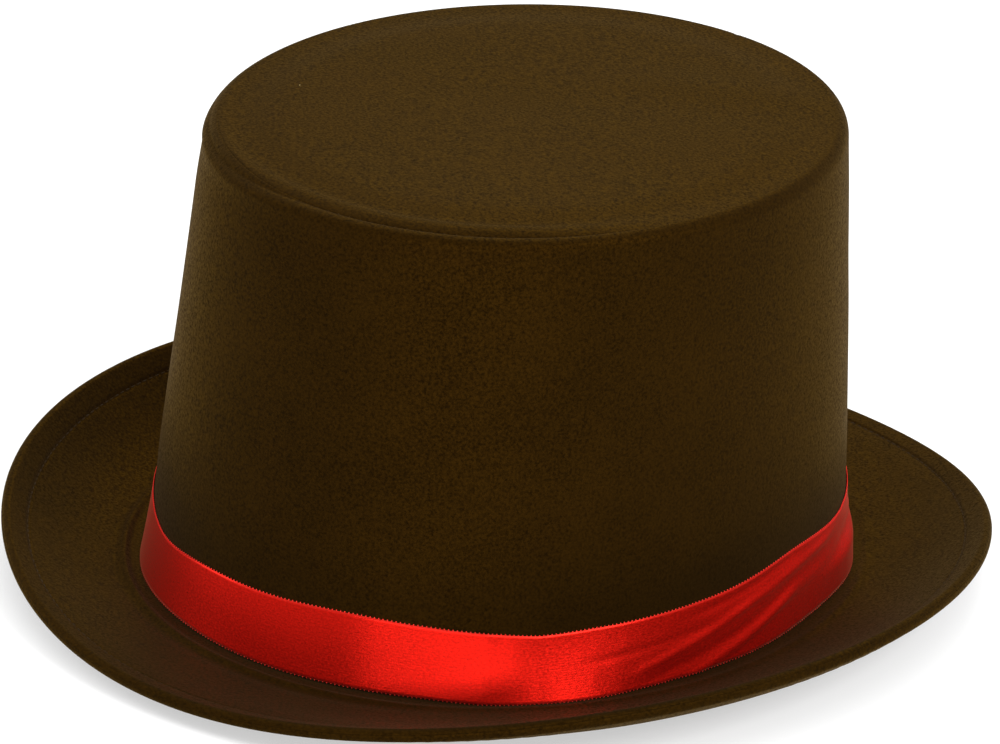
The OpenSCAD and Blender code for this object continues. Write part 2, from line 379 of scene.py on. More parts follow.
def tip_lift(point, share):
    """How far the top cover stands off its board: gentle waves and one long soft ridge"""
    free = 1 - fade(share, 0.80, 0.99)
    wave = 0.35 * (1 + ripple(point, 48 * MM, 11.0)) + 0.08 * ripple(point, 18 * MM, 5.0)
    wave += 2.0 * (1 - share ** 3)
    middle, run = Vector(TOP_RIDGE[:2]), math.radians(TOP_RIDGE[2])
    from_ridge = point.xy * 1000 - middle
    along = from_ridge.x * math.cos(run) + from_ridge.y * math.sin(run)
    across = from_ridge.y * math.cos(run) - from_ridge.x * math.sin(run)
    ridge = 0.30 * bump(across, 0, 9) - 0.20 * bump(across, -17, 12)
    return max(wave * free + ridge * bump(along, 0, 42) * (1 - fade(share, 0.9, 1.0)), 0) * MM


def hem_relief(shape, turn, distance, way):
    """Height of the hem's welt: doubled cloth outside the stitching, a groove along it, and puckers"""
    hem = shape.sizes.hem_width
    doubled = 0.22 * (1 - fade(distance, hem - 1.0 * MM, hem)) * fade(distance, 0, 1.5 * MM)
    groove = 0.20 * bump(distance, hem, 0.5 * MM)
    point = shape.brim_point(turn, 1 - distance / shape.brim_width(turn), 0, 0)
    around = turn * (shape.brim_half_length + shape.sizes.brim_half_width) / 2
    pull = 0.5 + 0.5 * ripple(point, 26 * MM, 6.0 + way)
    pucker = 0.11 * pull * math.sin(2 * math.pi * around / (2 * shape.sizes.hem_stitch))
    near = bump(distance, hem - 1.6 * MM, 2.4 * MM)
    return (doubled - groove + pucker * near) * MM


def brim_relief(shape, turn, distance, way):
    """Height of a brim cover above its even surface. way is 1 on top and -1 below."""
    relief = hem_relief(shape, turn, distance, way)
    width = shape.brim_width(turn)
    from_crown = width - distance - (shape.base_half - shape.hole_half)
    share = 1 - distance / width
    point = shape.brim_point(turn, share, 0, 0)
    free = fade(from_crown, 1.5 * MM, 8 * MM) * fade(distance, 7 * MM, 12 * MM)
    relief += 0.16 * MM * (1 + ripple(point, 30 * MM, 4.0 + way)) * free * way
    if way > 0:
        strength = 0.25 + 0.75 * (1 - fade(abs(degrees_from(turn, -112)), 30, 62))
        strength *= 0.8 + 0.2 * ripple(point, 12 * MM, 9.0)
        relief += 1.1 * MM * strength * bump(from_crown, 5.8 * MM, 1.2 * MM)
        relief -= 0.30 * MM * strength * bump(from_crown, 8.6 * MM, 1.6 * MM)
    return relief


def fold_height(turn, share):
    """Sum of the ribbon's long folds at a turn and a share of its width"""
    total = 0.0
    for start, low, end, high, depth, width in RIBBON_FOLDS:
        along = degrees_from(turn, start) / (end - start)
        if -0.6 < along < 1.6:
            middle = low + (high - low) * along
            ends = fade(along, -0.35, 0.15) * (1 - fade(along, 0.85, 1.35))
            total += depth * ends * bump(share * 19, middle * 19, width)
    return total


def ribbon_lift(shape, turn, share):
    """How far the ribbon stands off the crown's cover"""
    point = shape.on_oval(turn, shape.base_half, share * 19 * MM)
    slack = 0.22 * (1 + ripple(point, 34 * MM, 2.0))
    from_crease = degrees_from(turn, RIBBON_CREASE)
    tent = 0.80 * max(0.0, 1 - abs(from_crease) / (9 if from_crease < 0 else 8.5))
    from_kink = degrees_from(turn, RIBBON_KINK)
    kink = 0.45 * max(0.0, 1 - abs(from_kink) / 6) * share
    bulge = 2.3 * bump(degrees_from(turn, RIBBON_BULGE), 0, 13) * (1 - fade(share, 0.34, 0.62))
    for middle, half, out in RIBBON_FLARES:
        bulge += out * bump(degrees_from(turn, middle), 0, half) * (1 - share) ** 1.5
    folds = fold_height(turn, share)
    wrinkled = 0.10 * ripple(point, 5 * MM, 7.0) * bump(degrees_from(turn, 0), 0, 38)
    return (0.34 + slack + tent + kink + bulge + max(folds, -0.35) + wrinkled) * MM


def ribbon_height(turn, share):
    """Height of a point of the ribbon, whose upper edge dips at the kink"""
    sway = -0.6 * max(0.0, 1 - abs(degrees_from(turn, RIBBON_KINK)) / 9) * share
    for middle, half, up in RIBBON_SWAYS:
        sway += up * bump(degrees_from(turn, middle), 0, half) * share
    for middle, half, out in RIBBON_FLARES:
        sway -= 0.1 * out * bump(degrees_from(turn, middle), 0, half) * (1 - share)
    low, high = RIBBON_LOW.z, RIBBON_HIGH.z
    return low + (high - low) * share + sway * MM


# ---------- making pieces ----------


def evenly(low, high, count):
    """Values from low to high in even steps, both ends included"""
    return [low + (high - low) * i / count for i in range(count + 1)]


def middles(low, high, count):
    """The middles of equal parts between low and high"""
    return [low + (high - low) * (i + 0.5) / count for i in range(count)]


def turn_of(point):
    return math.atan2(point.y, point.x)


def place_round(point):
    """A point's turn, its distance from the axis and its height"""
    return turn_of(point), point.xy.length, point.z


def turned(profile, steps):
    """A profile of (distance from the axis, height) turned once round, starting at the back"""
    bm = bmesh.new()
    verts = [bm.verts.new((0, distance, height)) for distance, height in profile]
    edges = [bm.edges.new(pair) for pair in zip(verts, verts[1:])]
    bmesh.ops.spin(
        bm, geom=verts + edges, cent=(0, 0, 0), axis=(0, 0, 1),
        angle=2 * math.pi, steps=steps, use_merge=True, use_duplicate=False,
    )
    bmesh.ops.remove_doubles(bm, verts=bm.verts, dist=1e-7)
    return bm


def lay_cloth(bm, around):
    """UV in metres: along the cloth from the back, and up it"""
    layer = bm.loops.layers.uv.new("cloth")
    full = 2 * math.pi
    for face in bm.faces:
        middle = (turn_of(face.calc_center_median()) - BACK) % full
        for loop in face.loops:
            turn = (turn_of(loop.vert.co) - BACK) % full
            if turn - middle > math.pi:
                turn -= full
            elif middle - turn > math.pi:
                turn += full
            loop[layer].uv = (turn / full * around, loop.vert.co.z)


def face_outwards(bm, outside):
    """Turns the faces consistently, towards the direction that outside gives for a point"""
    bmesh.ops.recalc_face_normals(bm, faces=bm.faces)
    facing = sum(f.normal.dot(outside(f.calc_center_median())) * f.calc_area() for f in bm.faces)
    if facing < 0:
        bmesh.ops.reverse_faces(bm, faces=bm.faces)


def piece(name, bm, finish, replaced=(), thickness=0.0):
    """An object made of a bmesh in a finish, riding on the hat. A thickness goes inwards."""
    mesh = bpy.data.meshes.new(name)
    bm.to_mesh(mesh)
    bm.free()
    mesh.polygons.foreach_set("use_smooth", [True] * len(mesh.polygons))
    mesh.materials.append(finish_of(finish))
    made = bpy.data.objects.new(name, mesh)
    bpy.context.scene.collection.objects.link(made)
    if thickness:
        wall = made.modifiers.new("thickness", "SOLIDIFY")
        wall.thickness = thickness
        wall.offset = -1
    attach(made, BODY)
    if replaced:
        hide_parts(*replaced)
    return made


class Stitches:
    """Short stitches gathered into one piece: thin capsules, flattened against the cloth"""

    def __init__(self, sides=6):
        self.bm = bmesh.new()
        ball = bmesh.new()
        bmesh.ops.create_uvsphere(
            ball, u_segments=sides, v_segments=5, radius=1.0,
            matrix=Matrix.Rotation(math.pi / 2, 4, "Y"),
        )
        self.capsule = bpy.data.meshes.new("capsule")
        ball.to_mesh(self.capsule)
        ball.free()

    def add(self, place, along, off, length, radius):
        """One stitch that lies along a direction, on cloth that faces off"""
        along = along.normalized()
        across = off.cross(along).normalized()
        up = along.cross(across)
        laid = self.capsule.copy()
        laid.transform(Matrix((
            (along.x * length / 2, across.x * radius, up.x * radius * 0.8, place.x),
            (along.y * length / 2, across.y * radius, up.y * radius * 0.8, place.y),
            (along.z * length / 2, across.z * radius, up.z * radius * 0.8, place.z),
            (0, 0, 0, 1),
        )))
        self.bm.from_mesh(laid)
        bpy.data.meshes.remove(laid)

    def line(self, point_at, off_at, pitch, radius, filled=0.74):
        """Stitches once round the hat, each along the line and lying on the cloth"""
        step = 0.002
        for turn in spaced(point_at, pitch):
            along = point_at(turn + step) - point_at(turn - step)
            self.add(point_at(turn), along, off_at(turn), pitch * filled, radius)

    def piece(self, name, replaced=(), finish="dark_sewing_thread", slot="dark_thread"):
        bpy.data.meshes.remove(self.capsule)
        return piece(name, self.bm, finish, replaced)


def spaced(point_at, pitch):
    """Turns at even distances along a line once round the hat"""
    turns = evenly(0.0, 2 * math.pi, 1440)
    points = [point_at(t) for t in turns]
    lengths = [0.0]
    for a, b in zip(points, points[1:]):
        lengths.append(lengths[-1] + (b - a).length)
    count = max(1, round(lengths[-1] / pitch))
    found, j = [], 0
    for wanted in middles(0.0, lengths[-1], count):
        while lengths[j + 1] < wanted:
            j += 1
        part = (wanted - lengths[j]) / (lengths[j + 1] - lengths[j])
        found.append(turns[j] + (turns[j + 1] - turns[j]) * part)
    return found


# ---------- finishes ----------


class Wire:
    """A node's output. Sums written with it become Math nodes."""

    def __init__(self, finish, socket):
        self.finish = finish
        self.socket = socket

    def _sum(self, operation, first, second, clamp=False):
        return self.finish.node(
            "ShaderNodeMath", {"operation": operation, "use_clamp": clamp}, {0: first, 1: second}
        )

    def __add__(self, other):
        return self._sum("ADD", self, other)

    def __radd__(self, other):
        return self._sum("ADD", other, self)

    def __sub__(self, other):
        return self._sum("SUBTRACT", self, other)

    def __rsub__(self, other):
        return self._sum("SUBTRACT", other, self)

    def __mul__(self, other):
        return self._sum("MULTIPLY", self, other)

    def __rmul__(self, other):
        return self._sum("MULTIPLY", other, self)

    def __gt__(self, other):
        return self._sum("GREATER_THAN", self, other)

    def __lt__(self, other):
        return self._sum("LESS_THAN", self, other)

    def sine(self):
        return self._sum("SINE", self, 0.0)

    def within(self):
        """Held between 0 and 1"""
        return self._sum("ADD", self, 0.0, clamp=True)


class Finish:
    """A procedural material being put together"""

    def __init__(self, name):
        self.material = bpy.data.materials.new(name)
        self.material.use_nodes = True
        self.nodes = self.material.node_tree.nodes
        self.links = self.material.node_tree.links
        self.nodes.clear()

    def node(self, kind, settings=None, inputs=None, output=0):
        """Adds a node: its settings first, then the values or links of its sockets"""
        made = self.nodes.new(kind)
        for name, value in (settings or {}).items():
            setattr(made, name, value)
        for key, value in (inputs or {}).items():
            socket = made.inputs[key]
            if isinstance(value, Wire):
                self.links.new(value.socket, socket)
            else:
                socket.default_value = value
        return Wire(self, made.outputs[output]) if made.outputs else None

    def object_place(self):
        return self.node("ShaderNodeTexCoord", output="Object")

    def cloth_place(self):
        return self.node("ShaderNodeUVMap", {"uv_map": "cloth"}, output="UV")

    def parts(self, vector):
        """The x, y and z of a vector"""
        split = self.node("ShaderNodeSeparateXYZ", inputs={0: vector}).socket.node
        return [Wire(self, split.outputs[i]) for i in range(3)]

    def noise(self, place, scale, detail=2.0, roughness=0.5):
        return self.node(
            "ShaderNodeTexNoise", {"noise_dimensions": "3D"},
            {"Vector": place, "Scale": scale, "Detail": detail, "Roughness": roughness},
        )

    def mix(self, factor, first, second):
        """A colour between two others"""
        first, second = (c if isinstance(c, Wire) else (*c[:3], 1.0) for c in (first, second))
        # The Mix node keeps its colour sockets behind those for numbers and vectors
        inputs = {0: factor, 6: first, 7: second}
        return self.node("ShaderNodeMix", {"data_type": "RGBA"}, inputs, output=2)

    def shaded(self, tone, colour, low, high):
        """A colour that runs from a low to a high share of itself"""
        return self.mix(tone, darker(colour, low), darker(colour, high))

    def relief(self, height, strength, distance):
        return self.node(
            "ShaderNodeBump", inputs={"Height": height, "Strength": strength, "Distance": distance}
        )

    def finished(self, **sockets):
        """Ends the material in one Principled shader. A name's underscores stand for spaces."""
        inputs = {}
        for name, value in sockets.items():
            is_colour = not isinstance(value, (Wire, int, float))
            label = name.replace("_", " ").title().replace("Ior", "IOR")
            inputs[label] = (*value[:3], 1.0) if is_colour else value
        shader = self.node("ShaderNodeBsdfPrincipled", inputs=inputs)
        self.node("ShaderNodeOutputMaterial", inputs={"Surface": shader})
        return self.material


def darker(colour, share):
    return tuple(c * share for c in colour[:3])


def satin_finish(colours):
    """Dark satin: a fine speckled grain, faint slubs, wear on a broad scale and specks of lint"""
    f = Finish("hat_satin")
    place = f.object_place()
    grain = f.noise(place, 1250, 3.0, 0.75)
    cloudy = f.noise(place, 42, 3.0, 0.55)
    speckle = (grain - 0.5) * 3.0 + (cloudy - 0.5) * 0.5 + 0.5
    colour = f.shaded(speckle.within(), colours.satin, 0.45, 1.6)
    cells = {"Vector": place, "Scale": 75}
    spots = f.node("ShaderNodeTexVoronoi", {"feature": "F1"}, cells, "Distance")
    chosen = f.node("ShaderNodeTexVoronoi", {"feature": "F1"}, cells, "Color")
    lint = (spots < 0.016) * (f.parts(chosen)[0] > 0.86)
    lint_colour = (0.34, 0.27, 0.12)
    colour = f.mix(lint, colour, lint_colour)
    rough = (0.50 + (grain - 0.5) * 0.22 + (cloudy - 0.5) * 0.10).within()
    slub = f.node(
        "ShaderNodeMapping", {"vector_type": "POINT"},
        {"Vector": place, "Scale": (1.0, 1.0, 0.16)},
    )
    slubs = f.noise(slub, 900, 2.0, 0.5)
    normal = f.relief(grain * 0.7 + slubs * 0.3, 0.30, 0.25 * MM)
    sparkle = (0.35 + (grain - 0.5) * 2.4).within()
    return f.finished(
        base_color=colour, roughness=rough, normal=normal, metallic=sparkle,
        specular_tint=colours.satin_sheen, specular_ior_level=0.0,
        sheen_weight=0.035, sheen_roughness=0.5, sheen_tint=colours.satin_sheen,
    )


def ribbon_finish(colours):
    """Red satin ribbon: fine weft ribs, a sparkling grain and lighter woven edges"""
    f = Finish("ribbon_satin")
    cloth = f.cloth_place()
    up = f.parts(cloth)[1]
    place = f.object_place()
    thread_runs = f.node(
        "ShaderNodeMapping", {"vector_type": "POINT"},
        {"Vector": cloth, "Scale": (1150.0, 1900.0, 1.0)},
    )
    grain = f.noise(thread_runs, 1.0, 2.0, 0.7)
    fine = f.noise(place, 2600, 1.0, 0.5)
    weft = (up * 9500.0).sine() * 0.5 + 0.5
    tone = ((grain - 0.5) * 2.2 + (fine - 0.5) * 0.5 + 0.5).within()
    colour = f.shaded(tone, colours.ribbon, 0.72, 1.24)
    woven_edge = 0.5 * MM
    low_edge = up < woven_edge
    high_edge = up > RIBBON_WIDTH - woven_edge
    colour = f.mix((low_edge + high_edge) * 0.3, colour, colours.ribbon_edge)
    rough = (0.34 + (grain - 0.5) * 0.30).within()
    normal = f.relief(weft * 0.12 + grain * 0.9 + fine * 0.2, 0.35, 0.14 * MM)
    return f.finished(
        base_color=colour, roughness=rough, normal=normal, metallic=0.78,
        specular_ior_level=0.1, specular_tint=(1.0, 0.45, 0.45),
        anisotropic=0.9, anisotropic_rotation=0.25,
        sheen_weight=0.08, sheen_roughness=0.35, sheen_tint=(1.0, 0.62, 0.35),
    )


def lining_finish(colours):
    """Thin lining in plain weave"""
    f = Finish("lining_cloth")
    place = f.object_place()
    cloudy = f.noise(place, 60, 3.0, 0.5)
    x, y, z = f.parts(place)
    across = ((x + y) * 6000.0).sine()
    up = (z * 6000.0).sine()
    colour = f.shaded(cloudy, colours.lining, 0.7, 1.6)
    rough = (0.42 + cloudy * 0.2).within()
    normal = f.relief(across * up * 0.5 + cloudy * 0.5, 0.25, 0.15 * MM)
    return f.finished(base_color=colour, roughness=rough, normal=normal, sheen_weight=0.15)


def sweatband_finish(colours):
    """Grosgrain: upright ribs"""
    f = Finish("grosgrain")
    along = f.parts(f.cloth_place())[0]
    rib_pitch = 0.9 * MM
    ribs = (along * (2 * math.pi / rib_pitch)).sine() * 0.5 + 0.5
    grain = f.noise(f.object_place(), 1400, 2.0, 0.6)
    colour = f.shaded(ribs * 0.6 + grain * 0.4, colours.sweatband, 0.5, 2.0)
    rough = (0.62 + grain * 0.18).within()
    normal = f.relief(ribs * 0.9 + grain * 0.15, 0.55, 0.3 * MM)
    return f.finished(base_color=colour, roughness=rough, normal=normal, sheen_weight=0.2)


def thread_finish(name, colour):
    """Twisted sewing thread"""
    f = Finish(name)
    place = f.object_place()
    x, y, z = f.parts(place)
    twist = ((x + y * 0.9 + z * 1.3) * 14000.0).sine() * 0.5 + 0.5
    fuzz = f.noise(place, 2600, 2.0, 0.6)
    tone = f.shaded(twist * 0.5 + fuzz * 0.5, colour, 0.6, 1.7)
    rough = (0.45 + fuzz * 0.25).within()
    normal = f.relief(twist, 0.4, 0.1 * MM)
    return f.finished(base_color=tone, roughness=rough, normal=normal, specular_ior_level=0.08)


def board_finish(colours):
    """Stiffened felt, pressed and slightly mottled"""
    f = Finish("pressed_felt")
    place = f.object_place()
    fibre = f.noise(place, 700, 4.0, 0.65)
    mottled = f.noise(place, 70, 2.0, 0.5)
    tone = (fibre * 0.5 + mottled * 0.5).within()
    colour = f.shaded(tone, colours.board, 0.65, 1.2)
    rough = (0.82 + fibre * 0.12).within()
    return f.finished(base_color=colour, roughness=rough, normal=f.relief(fibre, 0.5, 0.3 * MM))


def wire_finish():
    """Drawn spring steel with faint brown stains"""
    f = Finish("spring_steel")
    place = f.object_place()
    drawn = f.noise(place, 900, 2.0, 0.5)
    stained = f.noise(place, 55, 3.0, 0.6)
    colour = f.mix((stained * 0.5).within(), (0.56, 0.56, 0.57), (0.30, 0.24, 0.19))
    return f.finished(
        base_color=colour, roughness=(0.28 + drawn * 0.2).within(), metallic=1.0,
        normal=f.relief(drawn, 0.2, 0.05 * MM),
    )


def floor_finish():
    """Plain pale paper floor, glowing a little so that the shadow on it stays faint"""
    f = Finish("pale_floor")
    paper = f.noise(f.object_place(), 6, 3.0, 0.5)
    colour = f.mix(paper, (0.50, 0.50, 0.50), (0.53, 0.53, 0.53))
    return f.finished(
        base_color=colour, roughness=0.9, specular_ior_level=0.1,
        emission_color=(1.0, 1.0, 1.0), emission_strength=0.48,
    )


def finish_of(name):
    """A finish made once and shared by the pieces that wear it"""
    if name not in bpy.data.materials:
        colours = bpy.context.scene.top_hat_colours
        makers = {
            "hat_satin": lambda: satin_finish(colours),
            "ribbon_satin": lambda: ribbon_finish(colours),
            "lining_cloth": lambda: lining_finish(colours),
            "grosgrain": lambda: sweatband_finish(colours),
            "dark_sewing_thread": lambda: thread_finish(name, colours.thread),
            "red_sewing_thread": lambda: thread_finish(name, darker(colours.ribbon, 0.6)),
            "picot_thread": lambda: thread_finish(name, colours.ribbon_edge),
            "pressed_felt": lambda: board_finish(colours),
            "spring_steel": wire_finish,
            "pale_floor": floor_finish,
        }
        makers[name]()
    return bpy.data.materials[name]


# ---------- operators ----------


class HatOperator:
    """What the hat's operators share"""

    bl_options = {"REGISTER", "UNDO"}

    def execute(self, context):
        self.make(context, HatShape(context.scene.top_hat_sizes))
        return {"FINISHED"}


class TOPHAT_OT_hidden_frame(HatOperator, bpy.types.Operator):
    """Gives the boards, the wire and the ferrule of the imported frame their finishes"""

    bl_idname = "top_hat.hidden_frame"
    bl_label = "Boards and Wire"

    def make(self, context, shape):
        worn = {
            "pressed_felt": ("crown_side_board", "crown_tip_board", "brim_board"),
            "spring_steel": ("brim_edge_wire", "brim_wire_ferrule"),
        }
        for finish, nodes in worn.items():
            for name in nodes:
                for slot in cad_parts[name].material_slots:
                    slot.material = finish_of(finish)


class TOPHAT_OT_crown_covers(HatOperator, bpy.types.Operator):
    """Makes the satin over the crown's side and top, which meet in the groove round the rim"""

    bl_idname = "top_hat.crown_covers"
    bl_label = "Crown Covers"

    wall_rows = 52
    rim_rows = 14
    tip_rows = 40
    # Share of its full length and depth that the side cover keeps after it is cut to the taper
    tapered_share = 0.95

    def make(self, context, shape):
        self.side(shape)
        self.tip(shape)
        self.seam(shape)

    def side(self, shape):
        lean, foot = shape.lean, shape.foot
        rim = shape.rim_z + shape.sizes.rim_radius * math.sin(lean)
        profile = [(shape.wall_half(z), z) for z in evenly(foot, rim, self.wall_rows)[:-1]]
        profile += [shape.rim_point(a) for a in evenly(lean, SIDE_LAST_ANGLE, self.rim_rows)]
        # The last rows turn down beside the top cover's edge
        lip = ((83.2, 0.13), (84.2, 0.34))
        profile += [shape.rim_point(math.radians(a), inset * MM) for a, inset in lip]
        bm = turned(profile, shape.sizes.around)
        for vert in bm.verts:
            turn, half, z = place_round(vert.co)
            if z < rim - 1 * MM:
                vert.co = shape.on_oval(turn, half, z, wall_lift(shape, turn, z))
                continue
            across, up = half - shape.rim_half, z - shape.rim_z
            angle = math.atan2(up, across)
            inset = (shape.sizes.rim_radius - math.hypot(across, up)) * 0.7 * crease_strength(turn)
            inset -= rim_lift(turn, (angle - SEAM_ANGLE) * shape.sizes.rim_radius)
            inset -= wall_lift(shape, turn, rim) * math.cos(angle)
            vert.co = shape.on_oval(turn, *shape.rim_point(angle, inset))
        face_outwards(bm, lambda p: shape.outward(turn_of(p)) + Vector((0, 0, 0.4)))
        made = piece(
            "satin_side_cover", bm, "hat_satin",
            ("crown_side_cover",), shape.sizes.cover_thick,
        )
        around = shape.round_length(shape.base_half)
        deep = shape.top - shape.foot + shape.sizes.rim_radius
        self.tapered_share * around * deep

    def tip(self, shape):
        lip = ((81.6, 0.32), (82.6, 0.12), (84.0, 0.02), (87.0, 0.0))
        profile = [shape.rim_point(math.radians(a), inset * MM) for a, inset in lip]
        for i in range(self.tip_rows + 1):
            share = (1 - i / self.tip_rows) ** 0.8
            profile.append((shape.rim_half * share, shape.tip_height(share)))
        bm = turned(profile, shape.sizes.around)
        for vert in bm.verts:
            turn, half, z = place_round(vert.co)
            point = shape.on_oval(turn, half, z)
            seam = shape.rim_half + shape.sizes.rim_radius * math.cos(SEAM_ANGLE)
            lift = tip_lift(point, half / shape.rim_half) + rim_lift(turn, seam - half)
            if half > shape.rim_half:
                even = shape.rim_z + math.sqrt(
                    shape.sizes.rim_radius ** 2 - (half - shape.rim_half) ** 2
                )
                lift += (even - z - 0.02 * MM) * (1 - crease_strength(turn))
            vert.co = point + Vector((0, 0, lift))
        face_outwards(bm, lambda p: Vector((0, 0, 1)))
        made = piece(
            "satin_top_cover", bm, "hat_satin",
            ("crown_tip_cover",), shape.sizes.cover_thick,
        )

    def seam(self, shape):
        """Ladder stitches down in the groove, and the stitches of the back seam"""
        ladder = Stitches()
        half, z = shape.rim_point(math.radians(84.9), 0.45 * MM)
        for turn in spaced(lambda t: shape.on_oval(t, half, z), 3.2 * MM):
            place = shape.on_oval(turn, half, z)
            ladder.add(place, shape.outward(turn), Vector((0, 0, 1)), length=0.5 * MM, radius=0.11 * MM)
        ladder.piece("rim_ladder_stitches", ("rim_seam_thread",))
        seam = Stitches()
        up = Vector((0, -math.sin(shape.lean), math.cos(shape.lean)))
        for z in middles(RIBBON_HIGH.z + 1.5 * MM, shape.rim_z - 1 * MM, 34):
            place = shape.on_oval(BACK, shape.wall_half(z), z, -0.24 * MM)
            seam.add(place, up, Vector((0, 1, 0)), length=2.1 * MM, radius=0.13 * MM)
        seam.piece("back_seam_stitches", ("back_seam_thread",))


class TOPHAT_OT_brim_covers(HatOperator, bpy.types.Operator):
    """Makes the satin on both sides of the brim, its stitched hem and the seam at the crown"""

    bl_idname = "top_hat.brim_covers"
    bl_label = "Brim Covers"

    edge_rows = 7

    def rows(self, shape):
        """Distances in from the edge: close together at the hem, wider on the open brim"""
        hem, width = shape.sizes.hem_width, shape.brim_width(0)
        found, distance = [], BRIM_HALF_THICK
        while distance < width - 0.5 * MM:
            found.append(distance)
            near_hem = abs(distance - hem) < 2.2 * MM
            near_crown = abs(width - distance - 7 * MM) < 4 * MM
            if near_hem:
                distance += 0.3 * MM
            else:
                distance += 0.55 * MM if near_crown else 1.3 * MM
        return found[::-1]

    def cover(self, shape, name, way, replaced):
        """One cover: the profile is laid out level, with distances from the edge, then curled"""
        width = shape.brim_width(0)
        profile = [(1.0, way * BRIM_HALF_THICK)]
        profile += [(1 + width - d, way * BRIM_HALF_THICK) for d in self.rows(shape)]
        for i in range(1, self.edge_rows + 1):
            a = (math.pi / 2) * (1 - i / self.edge_rows)
            profile.append((
                1 + width - BRIM_HALF_THICK + BRIM_HALF_THICK * math.cos(a),
                way * BRIM_HALF_THICK * math.sin(a) + way * 0.02 * MM,
            ))
        bm = turned(profile, shape.sizes.around + 120)
        centre = 1 + width - BRIM_HALF_THICK
        for vert in bm.verts:
            turn, out, off = place_round(vert.co)
            real = shape.brim_width(turn)
            if out > centre + 0.001 * MM:
                share, along = 1 - BRIM_HALF_THICK / real, out - centre
                distance = BRIM_HALF_THICK - along
            else:
                share = (out - 1) / (centre - 1) * (1 - BRIM_HALF_THICK / real)
                along, distance = 0.0, real * (1 - share)
            relief = way * brim_relief(shape, turn, distance, way)
            relief *= min(1, abs(off) / BRIM_HALF_THICK)
            vert.co = shape.brim_point(turn, share, along, off + relief)
        face_outwards(bm, lambda p: Vector((0, 0, way)))
        made = piece(name, bm, "hat_satin", replaced, shape.sizes.cover_thick)

    def hem(self, shape, name, way, replaced):
        hem = shape.sizes.hem_width
        sunk = way * (BRIM_HALF_THICK - 0.14 * MM)

        def point_at(turn):
            return shape.brim_point(turn, 1 - hem / shape.brim_width(turn), 0, sunk)

        def off_at(turn):
            return shape.brim_frame(turn, 1 - hem / shape.brim_width(turn))[2] * way

        hemming = Stitches()
        hemming.line(point_at, off_at, pitch=shape.sizes.hem_stitch, radius=0.17 * MM)
        hemming.piece(name, replaced)

    def crown_seam(self, shape):
        z = shape.foot + 0.3 * MM
        joining = Stitches()
        joining.line(
            lambda t: shape.on_oval(t, shape.wall_half(z), z, 0.25 * MM),
            shape.outward, pitch=3 * MM, radius=0.2 * MM,
        )
        joining.piece("crown_to_brim_stitches", ("crown_brim_thread",))

    def make(self, context, shape):
        self.cover(shape, "satin_brim_top", 1, ("brim_top_cover",))
        self.cover(shape, "satin_brim_under", -1, ("brim_under_cover",))
        self.hem(shape, "hem_stitches_top", 1, ("hem_top_thread",))
        self.hem(shape, "hem_stitches_under", -1, ("hem_under_thread",))
        self.crown_seam(shape)


